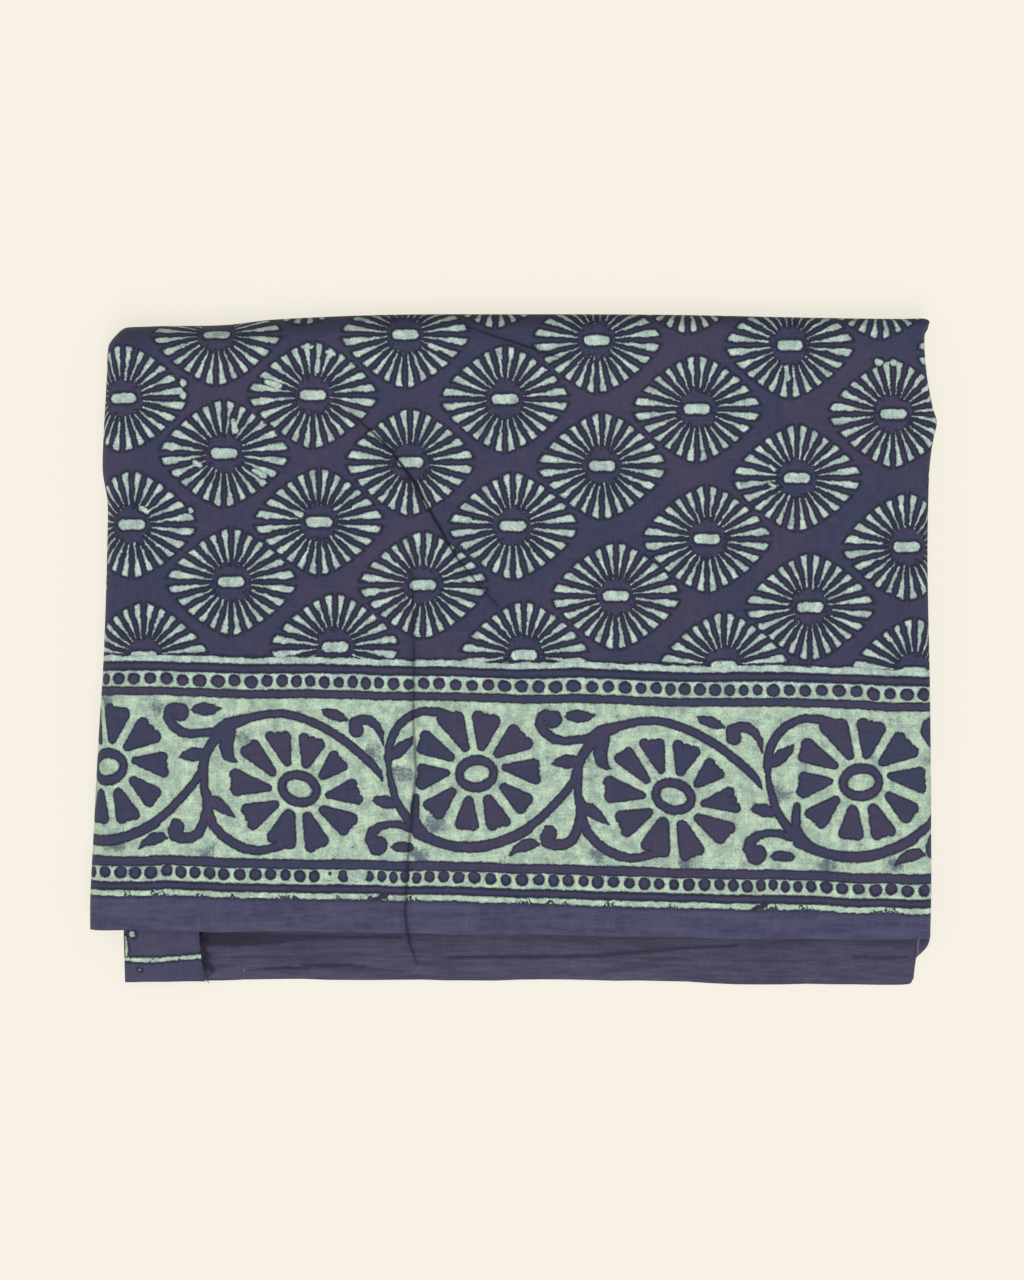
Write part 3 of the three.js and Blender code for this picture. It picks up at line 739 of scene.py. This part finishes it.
class Net:
    """Builds a node tree with short calls. Values are sockets or plain numbers, or None to leave them be."""

    def __init__(self, tree):
        self.tree = tree

    def put(self, socket, value):
        if isinstance(value, bpy.types.NodeSocket):
            self.tree.links.new(value, socket)
        elif value is not None:
            socket.default_value = value

    def node(self, kind, *values, **settings):
        """A new node with these settings, and these values at its first sockets."""
        node = self.tree.nodes.new("ShaderNode" + kind)
        for name, setting in settings.items():
            setattr(node, name, setting)
        for socket, value in zip(node.inputs, values):
            self.put(socket, value)
        return node

    def math(self, operation, *values, clamp=False):
        return self.node("Math", *values, operation=operation, use_clamp=clamp).outputs[0]

    plus = partialmethod(math, "ADD")
    minus = partialmethod(math, "SUBTRACT")
    times = partialmethod(math, "MULTIPLY")
    times_plus = partialmethod(math, "MULTIPLY_ADD")
    least = partialmethod(math, "MINIMUM")
    most = partialmethod(math, "MAXIMUM")

    def vector(self, operation, *values):
        return self.node("VectorMath", *values, operation=operation).outputs[0]

    def measure(self, operation, *values):
        """A vector operation that gives a number."""
        return self.node("VectorMath", *values, operation=operation).outputs[1]

    def map(self, name):
        return self.vector("MULTIPLY", self.node("UVMap", uv_map=name).outputs[0], (MAP_UNITS, MAP_UNITS, 0))

    def split(self, vector):
        return self.node("SeparateXYZ", vector).outputs[:2]

    def thrice(self, value):
        return self.node("CombineXYZ", value, value, value).outputs[0]

    def noise(self, vector, scale, detail=2.0, rough=0.5, shift=0.0, out=0):
        scale = scale if isinstance(scale, tuple) else (scale, scale)
        moved = self.vector("MULTIPLY_ADD", vector, (*scale, 0), (shift, -shift, 0))
        node = self.node("TexNoise", moved, noise_dimensions="2D")
        for name, value in (("Scale", 1.0), ("Detail", detail), ("Roughness", rough)):
            node.inputs[name].default_value = value
        return node.outputs[out]

    def ramp(self, value, low, high, to_low=0.0, to_high=1.0, soft=True):
        kind = "SMOOTHSTEP" if soft else "LINEAR"
        return self.node("MapRange", value, low, high, to_low, to_high, interpolation_type=kind, clamp=True).outputs[0]

    def mix(self, factor, a, b):
        return self.node("Mix", factor, *[None] * 5, a, b, data_type="RGBA", clamp_factor=True).outputs[2]

    def group(self, tree, *values):
        return self.node("Group", *values, node_tree=tree).outputs[0]

    def surface(self, values):
        """The shader of the material, with these values at its named sockets."""
        shader = self.node("BsdfPrincipled")
        for name, value in values.items():
            self.put(shader.inputs[name], value)
        self.node("OutputMaterial", shader.outputs[0])


def new_group(name, vectors, numbers):
    """An empty node group with these inputs: its tree, its net, the inputs' sockets and the result's."""
    tree = bpy.data.node_groups.new(name, "ShaderNodeTree")
    for labels, kind in ((vectors, "NodeSocketVector"), (numbers, "NodeSocketFloat")):
        for label in labels:
            tree.interface.new_socket(label, in_out="INPUT", socket_type=kind)
    tree.interface.new_socket("Result", in_out="OUTPUT", socket_type="NodeSocketFloat")
    given = [socket for socket in tree.nodes.new("NodeGroupInput").outputs if socket.name]
    return tree, Net(tree), given, tree.nodes.new("NodeGroupOutput").inputs[0]


def new_material(name, base):
    material = bpy.data.materials.new(name)
    material.use_nodes = True
    material.node_tree.nodes.clear()
    material.diffuse_color = linear(base)
    return material, Net(material.node_tree)


def stroke_group():
    """Distance to a stroke that tapers from one end to the other, or what came before if that is less.

    It has no clamped node and no number linked to a vector: the renderer works those out last, and a
    long chain of strokes would then run out of room.
    """
    vectors, numbers = ("Point", "From", "Run", "Run over length squared"), ("Half", "Gain", "Before")
    tree, net, (point, start, run, scaled_run, half, gain, before), result = new_group("stroke", vectors, numbers)
    local = net.vector("SUBTRACT", point, start)
    share = net.least(net.most(net.measure("DOT_PRODUCT", local, scaled_run), 0.0), 1.0)
    far = net.measure("DISTANCE", local, net.vector("SCALE", run, None, None, share))
    half = net.times_plus(share, gain, half)
    net.put(result, net.least(before, net.minus(far, half)))
    return tree


STROKE = stroke_group()


def strokes(net, point, lines):
    """The distance to the nearest of many strokes: lines of (x, y, half width)."""
    nearest = 100.0
    for line in lines:
        for (ax, ay, ar), (bx, by, br) in zip(line, line[1:]):
            dx, dy = bx - ax, by - ay
            square = dx * dx + dy * dy
            ends = (ax, ay, 0), (dx, dy, 0), (dx / square, dy / square, 0)
            nearest = net.group(STROKE, point, *ends, ar, br - ar, nearest)
    return nearest


def wander(net, point, where, size, reach, shift=0.0, detail=2.0):
    """point, moved to and fro by a noise of that size over that reach, as a hand-cut block prints."""
    noise = net.noise(where, 1 / reach, detail, 0.6, shift, "Color")
    return net.vector("MULTIPLY_ADD", net.vector("SUBTRACT", noise, (0.5, 0.5, 0.5)), (size, size, 0), point)


def medallion_group():
    """Distance to the medallion's rays and bar, from the place in the medallion."""
    tree, net, (point, swell, start), result = new_group("medallion", ["Point"], ["Swell", "Start"])
    x, y = net.split(point)
    x, y = net.math("ABSOLUTE", x), net.math("ABSOLUTE", y)
    # The nearest of a quarter's rays, how far out along it the place is, and how far to its side
    per_quarter = RAYS // 4
    index = net.math("FLOOR", net.times(net.math("ARCTAN2", y, x), RAYS / (2 * math.pi)))
    middle = net.times_plus(net.least(index, per_quarter - 1.0), 2 * math.pi / RAYS, math.pi / RAYS)
    cos, sin = net.math("COSINE", middle), net.math("SINE", middle)
    out = net.times_plus(x, cos, net.times(y, sin))
    aside = net.minus(net.times(y, cos), net.times(x, sin))
    share = net.times(net.minus(out, RAY_START), 1 / RAY_LENGTH, clamp=True)
    half = net.times_plus(share, RAY_HALF[2], RAY_HALF[1])
    half = net.plus(net.times_plus(half, share, RAY_HALF[0]), swell)
    ray = net.minus(net.math("ABSOLUTE", aside), half)
    power = MEDALLION_POWER
    wide = net.math("POWER", net.times(x, 1 / MEDALLION_WIDE), power)
    outline = net.plus(wide, net.math("POWER", net.times(y, 1 / MEDALLION_TALL), power))
    outline = net.times_plus(net.math("POWER", outline, 1 / power), MEDALLION_REACH, -MEDALLION_REACH)
    ray = net.most(net.math("SMOOTH_MAX", ray, outline, RAY_ROUNDING), net.minus(start, out))
    bar = net.most(net.minus(x, BAR_STRAIGHT), 0.0)
    bar = net.math("SQRT", net.times_plus(bar, bar, net.times(y, y)))
    net.put(result, net.least(ray, net.minus(bar, BAR_HALF)))
    return tree


def beads(net, index, y, row):
    """Distance to a row of beads, from the place along it in beads and the height in the border."""
    cell = net.math("FLOOR", index)
    jitter = net.node("TexWhiteNoise", None, net.plus(cell, row), noise_dimensions="1D")
    jx, jy = net.split(jitter.outputs["Color"])
    dx = net.times(net.minus(net.math("FRACT", index), 0.5), BEAD_PITCH)
    dy = net.plus(net.minus(y, row), net.times_plus(jy, 1.8, -0.9))
    far = net.math("SQRT", net.times_plus(dx, dx, net.times(dy, dy)))
    return net.minus(far, net.times_plus(jx, 1.0, BEAD_HALF - 0.6))


def ellipse(net, point, flower, size):
    """Distance to an oval about a flower's middle, nearly."""
    tilt = math.radians(flower["tilt"])
    cos, sin = math.cos(tilt), math.sin(tilt)
    local = net.vector("SUBTRACT", point, (*flower["at"], 0))
    lengthways = net.measure("DOT_PRODUCT", local, (cos / size[0], sin / size[0], 0))
    across = net.measure("DOT_PRODUCT", local, (-sin / size[1], cos / size[1], 0))
    far = net.math("SQRT", net.times_plus(lengthways, lengthways, net.times(across, across)))
    return net.times(net.minus(far, 1.0), min(size))


# ---------------------------------------------------------------- colours and materials
GREENS = (148, 168, 156), (200, 224, 195)
FIELD_GREENS = (152, 171, 166), (206, 228, 212)
GREEN_STAIN = (90, 102, 114)
INDIGO, INDIGO_LIGHT, INDIGO_WARM, INDIGO_DEEP = (58, 61, 86), (75, 76, 101), (67, 62, 86), (33, 33, 54)
STRIP_DARK, STRIP_BLUE, STRIP_GREY = (62, 62, 89), (77, 78, 106), (84, 82, 104)
REVERSE_COLOURS, INNER_STRIP_COLOURS = ((66, 61, 83), (84, 80, 104)), ((64, 60, 80), (80, 76, 98))
STREAK_AND_SHADOW, LIGHT_LINE_COLOUR, CREASE_SHADE = (40, 36, 54), (160, 158, 172), (22, 24, 42)
THREAD, FLOOR = (34, 32, 50), (248, 242, 230)


def ground_colour(net, place, lift):
    """Indigo ground, mottled, and lighter by lift."""
    base, light, warm = (linear([c + lift for c in shade]) for shade in (INDIGO, INDIGO_LIGHT, INDIGO_WARM))
    colour = net.mix(net.ramp(net.noise(place, 1 / 90, 3, 0.6), 0.38, 0.66), base, warm)
    return net.mix(net.ramp(net.noise(place, 1 / 9, 5, 0.7, 31.0), 0.45, 0.85, 0, 0.55), colour, light)


def green_colour(net, place, clouds, greens):
    """Resist-printed green, with the dark clouds where dye crept under the resist."""
    thread = net.noise(place, (1 / 2.2, 1 / 1.6), 3, 0.7, 3.0)
    patch = net.times_plus(thread, 0.42, net.times(net.noise(place, 1 / 14, 5, 0.75, 7.0), 0.6))
    colour = net.mix(net.ramp(patch, 0.37, 0.66), *map(linear, greens))
    stain = net.times_plus(thread, 0.58, net.times(net.noise(place, 1 / 17, 6, 0.74, 53.0), 0.74))
    if clouds:
        far = strokes(net, place, [[(x, y, reach - 6), (x + 3, y + 1, reach - 6)] for x, y, reach in clouds])
        stain = net.plus(stain, net.ramp(far, -2.0, 10.0, 0.2, 0.0))
    return net.mix(net.ramp(stain, 0.71, 0.89, 0, 0.9), colour, linear(GREEN_STAIN))


def ink_colour(net, dark, place, clouds=(), lift=0, rim=(-3.8, 0.8), greens=GREENS):
    """Green cloth where dark is above zero, indigo ground where it is below: dark is a distance in chart units.

    The ground is deepest along its rim, from that distance up and by that share. The edge is shifted
    because light areas look wider in the picture than they are charted.
    """
    edge = net.times_plus(net.noise(place, 1 / 1.7, 2, 0.6, 41.0), 1.7, net.plus(dark, -1.45))
    green = net.ramp(edge, -0.95, 0.95)
    ground = ground_colour(net, place, lift)
    ground = net.mix(net.ramp(dark, rim[0], -0.8, 0.0, rim[1]), ground, linear(INDIGO_DEEP))
    return net.mix(green, ground, green_colour(net, place, clouds, greens))


def border_lines(net, place, border):
    """The border's lines and bead rows: above zero in the green, below in the dark. Also the height in it."""
    slow = net.noise(place, (1 / 120, 1 / 400), 2, 0.6, 5.0)
    point = wander(net, border, place, 2.8, 7.0, 61.0, 3.0)
    y = net.times_plus(slow, 7.0, net.minus(net.split(point)[1], 3.5))
    upper, lower = net.split(wander(net, net.map("beads"), place, 0.12, 9.0, 77.0))
    gaps = net.times(strokes(net, place, BEAD_GAPS), -1.0)
    lower_row = net.most(beads(net, lower, y, BEAD_ROWS[1]), gaps)
    dark = net.least(beads(net, upper, y, BEAD_ROWS[0]), lower_row)
    for low, high in DARK_LINES:
        off = net.math("ABSOLUTE", net.minus(y, (low + high) / 2))
        dark = net.least(dark, net.minus(off, (high - low) / 2))
    return dark, y


def back_shade(net, real):
    """Painted shade: how much darker the cloth is painted towards the back fold, where it rolls away from the light,
    more so at the left.
    """
    x, y = net.split(real)
    reach = net.ramp(x, 190, 430, 32, 14)
    share = net.math("DIVIDE", net.minus(y, 316.0), reach)
    return net.thrice(net.ramp(share, 0.0, 1.0, 0.6, 1.0, soft=False))


def with_crease_shade(net, colour, real):
    """The colour with painted shade: darker in the creases of the top run."""
    moved = wander(net, real, real, 1.6, 14.0, 11.0)
    upright, aslant = strokes(net, moved, CREASES[:1]), strokes(net, moved, CREASES[1:])
    line = net.plus(net.ramp(upright, -1.1, 1.9, 0.55, 0.0), net.ramp(aslant, -1.2, 1.7, 0.85, 0.0))
    broad = net.ramp(net.least(upright, aslant), 0.0, 8.0, 0.15, 0.0)
    return net.mix(net.plus(line, broad, clamp=True), colour, linear(CREASE_SHADE))


def finish_cloth(net, colour, place, real, shade=None):
    """The cloth's shader: painted shade in the creases and any painted shade it is given, a change of tone from thread
    to thread, the weave in the bump, a soft sheen.
    """
    colour = with_crease_shade(net, colour, real)
    if shade is not None:
        colour = net.vector("MULTIPLY", colour, shade)
    threads = net.noise(place, (1 / 1.1, 1 / 26), 2, 0.6, 17.0)
    picks = net.noise(place, (1 / 34, 1 / 1.2), 2, 0.6, 29.0)
    grain = net.noise(place, 1 / 1.5, 2, 0.7, 73.0)
    tone = net.times_plus(net.plus(threads, picks), 0.32, net.times(grain, 0.36))
    tone = net.ramp(tone, 0.34, 0.66, 0.8, 1.2, soft=False)
    toned = net.vector("MULTIPLY", colour, net.thrice(tone))
    x, y = net.split(place)
    warp = net.math("SINE", net.times(x, 2 * math.pi / WARP_PITCH))
    weft = net.math("SINE", net.times(y, 2 * math.pi / WEFT_PITCH))
    relief = net.times_plus(net.times(warp, weft), 0.5, net.times(tone, 2.0))
    bump = net.node("Bump")
    for name, value in (("Strength", 0.35), ("Distance", 0.00012), ("Height", relief)):
        net.put(bump.inputs[name], value)
    net.surface({
        "Base Color": toned, "Roughness": 0.88, "Specular IOR Level": 0.22,
        "Sheen Weight": 0.06, "Sheen Roughness": 0.5, "Normal": bump.outputs[0],
    })


def field_material():
    material, net = new_material("field", INDIGO)
    place, border, motif, real = (net.map(name) for name in ("cloth", "border", "motif", "place"))
    point = wander(net, wander(net, motif, place, 2.6, 9.0, 71.0), place, 1.2, 2.6, 23.0)
    swell = net.ramp(net.noise(place, 1 / 11, 3, 0.65, 83.0), 0.25, 0.75, -0.6, 0.65, soft=False)
    start = net.ramp(net.noise(place, 1 / 6, 2, 0.6, 87.0), 0.3, 0.7, 16.5, 23.5, soft=False)
    rays = net.group(medallion_group(), point, swell, start)
    spots = strokes(net, wander(net, place, place, 2.5, 5.0, 33.0), BLOTCHES)
    light = net.times(net.least(rays, spots), -1.0)
    dark, y = border_lines(net, place, border)
    # Above the border only the medallions print green, and its first line is an uneven green one
    ragged = net.noise(place, (1 / 30, 1 / 12), 4, 0.65, 97.0)
    within = net.least(net.times_plus(ragged, 7.0, net.minus(y, 5.5)), dark)
    total = net.most(net.least(light, net.minus(4.0, y)), within)
    colour = ink_colour(net, total, place, greens=FIELD_GREENS)
    # The field is painted darker towards the back fold: painted shade
    finish_cloth(net, colour, place, real, back_shade(net, real))
    return material


def petal_strokes(flower):
    """Each petal as three strokes from its inner end: two lobes and what lies between them."""
    lines = []
    for inner, one, two in flower["petals"]:
        apart = math.hypot(one[0] - two[0], one[1] - two[1])
        between = ((one[0] + two[0]) / 2, (one[1] + two[1]) / 2, min(apart / 2 + 0.5, one[2] - 0.4, two[2] - 0.4))
        lines += [[inner, one], [inner, two], [inner, between]]
    return lines


def vine_material(column):
    """The border's vine and flowers: only the strokes that reach into one column of the block."""
    material, net = new_material(f"vine_{column}", GREENS[1])
    place, border, motif, real = (net.map(name) for name in ("cloth", "border", "motif", "place"))
    point = wander(net, motif, place, 2.1, 5.0, 67.0, 3.0)
    low = BLOCK_START + column * COLUMN_LENGTH - 9
    high = low + COLUMN_LENGTH + 18
    lines = []
    for shift in (-BLOCK_LENGTH, 0, BLOCK_LENGTH):
        for line in STROKES.values():
            moved = [(x + shift, y, r) for x, y, r in line]
            lines += [[a, b] for a, b in zip(moved, moved[1:]) if max(a[0], b[0]) > low and min(a[0], b[0]) < high]
    flower = FLOWERS[column // 2]
    for line in petal_strokes(flower):
        if max(x + r for x, _, r in line) > low and min(x - r for x, _, r in line) < high:
            lines.append(line)
    dark = strokes(net, point, lines)
    ring, eye = (ellipse(net, point, flower, flower[part]) for part in ("ring", "eye"))
    dark = net.least(dark, net.most(ring, net.times(eye, -1.0)))
    dark = net.least(dark, border_lines(net, place, border)[0])
    colour = ink_colour(net, dark, place, CLOUDS, lift=1, rim=(-1.9, 0.7))
    finish_cloth(net, colour, place, real)
    return material


def plain_material():
    """The plain strip beside the selvage, with the border's last lines above it."""
    material, net = new_material("plain", STRIP_BLUE)
    place, border, real = (net.map(name) for name in ("cloth", "border", "place"))
    dark, y = border_lines(net, place, border)
    dark = net.least(dark, strokes(net, place, BEAD_DROP))
    # The green end line is ragged, broken where it is thin, and stops at the joints between blocks
    ragged = net.noise(place, (1 / 5, 1 / 3), 4, 0.7, 37.0)
    edge = net.times_plus(ragged, -3.6, net.minus(BORDER_END + 2.0, y))
    thin = net.ramp(net.noise(place, (1 / 30, 1 / 60), 2, 0.6, 59.0), 0.5, 0.66)
    broken = net.ramp(net.noise(place, (1 / 2.4, 1 / 4), 2, 0.6, 65.0), 0.38, 0.62, 0.0, 6.0)
    edge = net.minus(edge, net.times(thin, broken))
    edge = net.least(edge, strokes(net, wander(net, place, place, 2.0, 5.0), JOINTS))
    printed = ink_colour(net, net.least(dark, edge), place)
    streaks = net.noise(place, (1 / 80, 1 / 10), 6, 0.78, 43.0)
    strip = net.mix(net.ramp(streaks, 0.35, 0.68), linear(STRIP_DARK), linear(STRIP_BLUE))
    cloud = net.noise(place, 1 / 14, 4, 0.6, 45.0)
    strip = net.mix(net.ramp(cloud, 0.4, 0.7, 0.0, 0.5), strip, linear(STRIP_GREY))
    colour = net.mix(net.ramp(y, BORDER_END - 1, BORDER_END + 6), printed, strip)
    finish_cloth(net, colour, place, real)
    return material


def streaks_and_shadow_material(name, low, high):
    """Plain indigo cloth with brushed streaks along it, and some darker ones, partly painted shadow, and light lines
    that are charted.
    """
    material, net = new_material(name, low)
    place, real = net.map("cloth"), net.map("place")
    streaks = net.noise(place, (1 / 70, 1 / 9), 6, 0.78, 47.0)
    colour = net.mix(net.ramp(streaks, 0.34, 0.68), linear(low), linear(high))
    # Darker streaks, with painted shadow under the top run's front edge and along the flap's cut end
    far = strokes(net, wander(net, real, real, 3.0, 14.0, 19.0, 4.0), DARK_STREAKS_AND_SHADOWS)
    colour = net.mix(net.ramp(far, -1.0, 2.4, 0.7, 0.0), colour, linear(STREAK_AND_SHADOW))
    bright = strokes(net, wander(net, real, real, 1.0, 4.0), LIGHT_LINES)
    colour = net.mix(net.ramp(bright, -0.4, 0.6, 0.45, 0.0), colour, linear(LIGHT_LINE_COLOUR))
    finish_cloth(net, colour, place, real)
    return material


def flap_material():
    """The rolled-in end: plain printed ground with the border's end line and some drops."""
    material, net = new_material("flap", INDIGO)
    place, real = net.map("cloth"), net.map("place")
    point = wander(net, real, real, 2.2, 6.0, 23.0, 3.0)
    light = net.times(strokes(net, point, FLAP_LINES), -1.0)
    light = net.minus(light, net.ramp(net.noise(real, 1 / 6, 3, 0.6, 13.0), 0.5, 0.75, 0.0, 1.8))
    finish_cloth(net, ink_colour(net, light, real, lift=6), place, real)
    return material


# ---------------------------------------------------------------- threads


def tube(points, half, sides=5):
    """A thin thread along points as vertices and faces, closed at both ends."""
    points = [Vector(p) for p in points]
    verts, faces = [], []
    for i, p in enumerate(points):
        ahead = (points[min(i + 1, len(points) - 1)] - points[max(i - 1, 0)]).normalized()
        side = ahead.cross(Vector((0, 0, 1)))
        side = side.normalized() if side.length > 1e-6 else Vector((1, 0, 0))
        up = side.cross(ahead).normalized()
        for k in range(sides):
            turn = 2 * math.pi * k / sides
            verts.append(p + half * (math.cos(turn) * side + math.sin(turn) * up))
    for i in range(len(points) - 1):
        for k in range(sides):
            n = (k + 1) % sides
            faces.append((i * sides + k, i * sides + n, (i + 1) * sides + n, (i + 1) * sides + k))
    faces.append(tuple(range(sides))[::-1])
    faces.append(tuple(range((len(points) - 1) * sides, len(points) * sides)))
    return verts, faces


def build_threads(name, runs, material):
    verts, faces = [], []
    for points, half in runs:
        more, around = tube(points, half)
        faces += [tuple(len(verts) + i for i in face) for face in around]
        verts += more
    mesh = new_mesh(name, [tuple(v) for v in verts], faces)
    mesh.materials.append(material)
    mesh.shade_smooth()
    return put_in_scene(name, mesh)


def cut_end_threads(end):
    """Loose threads where the flap's cut end has frayed. They lie on the inner run beside it."""
    rng = np.random.default_rng(7)
    front_spots, spots, bends = 16, 110, 5
    runs = []
    for _ in range(64):
        at_front = rng.random() < 0.75
        k = int(rng.integers(0, front_spots) if at_front else rng.integers(front_spots, spots))
        base = end[k] + np.array([rng.uniform(-0.6, 0.2), rng.uniform(-1.2, 1.2), 0.1])
        length = rng.uniform(1.2, 5.2)
        turn = rng.normal(0, 0.45)
        curl = rng.normal(0, 0.35)
        points = []
        for i in range(bends + 1):
            t = i / bends
            a = turn + curl * t * 2
            down = 4.2 * smooth(np.array(t), 0.0, 0.7) - 0.3 * math.sin(3 * t)
            x, y = base[0] + length * t * math.cos(a), base[1] + length * t * math.sin(a)
            points.append((x * MM, y * MM, float(base[2] - down) * MM))
        runs.append((points, rng.uniform(0.07, 0.13) * MM))
    return runs


def thread_material():
    material, net = new_material("thread", THREAD)
    where = net.node("TexCoord").outputs["Object"]
    shade = net.ramp(net.noise(where, 900.0, 3, 0.6), 0.3, 0.7)
    colour = net.mix(shade, linear(THREAD), linear([c * 0.75 for c in THREAD]))
    net.surface({"Base Color": colour, "Roughness": 0.9})
    return material


# ---------------------------------------------------------------- camera, light and floor


def set_camera():
    """Straight above the picture's middle, as far up as the picture needs at the height of the cloth's top."""
    data = bpy.data.cameras.new("camera")
    data.lens, data.sensor_width, data.clip_end = 85, 36, 20
    wide, tall, cloth_top = 1024, 1280, 0.0155
    up = cloth_top + tall * CHART * MM / (data.sensor_width / data.lens)
    camera = put_in_scene("camera", data)
    camera.location = ((wide / 2 - CHART_X) * CHART * MM, (CHART_Y - tall / 2) * CHART * MM, up)
    bpy.context.scene.camera = camera


def sun(name, towards, strength, softness):
    """Wide soft light from one side, the same all over the picture."""
    data = bpy.data.lights.new(name, "SUN")
    data.energy, data.angle = strength, math.radians(softness)
    put_in_scene(name, data).rotation_euler = Vector(towards).to_track_quat("-Z", "Y").to_euler()


def set_stage():
    scene = bpy.context.scene
    scene.view_settings.view_transform = "Standard"
    scene.world = bpy.data.worlds.new("studio")
    scene.world.use_nodes = True
    background = scene.world.node_tree.nodes["Background"]
    background.inputs[0].default_value = (1, 1, 1, 1)
    background.inputs[1].default_value = 0.56
    sun("key", (-0.12, 0.75, -1), 1.42, 35)
    sun("fill", (0.5, -0.2, -1), 0.3, 60)
    reach, below = 6.0, -0.0002
    corners = [(-reach, -reach, 0), (reach, -reach, 0), (reach, reach, 0), (-reach, reach, 0)]
    mesh = new_mesh("floor", corners, [(0, 1, 2, 3)])
    floor = put_in_scene("floor", mesh)
    floor.location.z = below
    material, net = new_material("floor", FLOOR)
    # Most of the floor's light comes from under it, as on a lit table, which keeps the shadows faint
    full = linear(FLOOR)
    net.surface({
        "Base Color": (*(c * 0.22 for c in full[:3]), 1), "Emission Color": full, "Emission Strength": 0.78,
        "Roughness": 0.95, "Specular IOR Level": 0.05,
    })
    mesh.materials.append(material)


set_camera()
set_stage()
cloth, middle = build_cloth()
materials = [
    field_material(),
    plain_material(),
    streaks_and_shadow_material("reverse", *REVERSE_COLOURS),
    streaks_and_shadow_material("strip", *INNER_STRIP_COLOURS),
    flap_material(),
    *[vine_material(column) for column in range(COLUMNS)],
]
for material in materials:
    cloth.data.materials.append(material)
threads = build_threads("frayed_threads", cut_end_threads(middle[0]), thread_material())

for piece in (cloth, threads):
    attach(piece, "root")
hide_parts("folded_cloth")
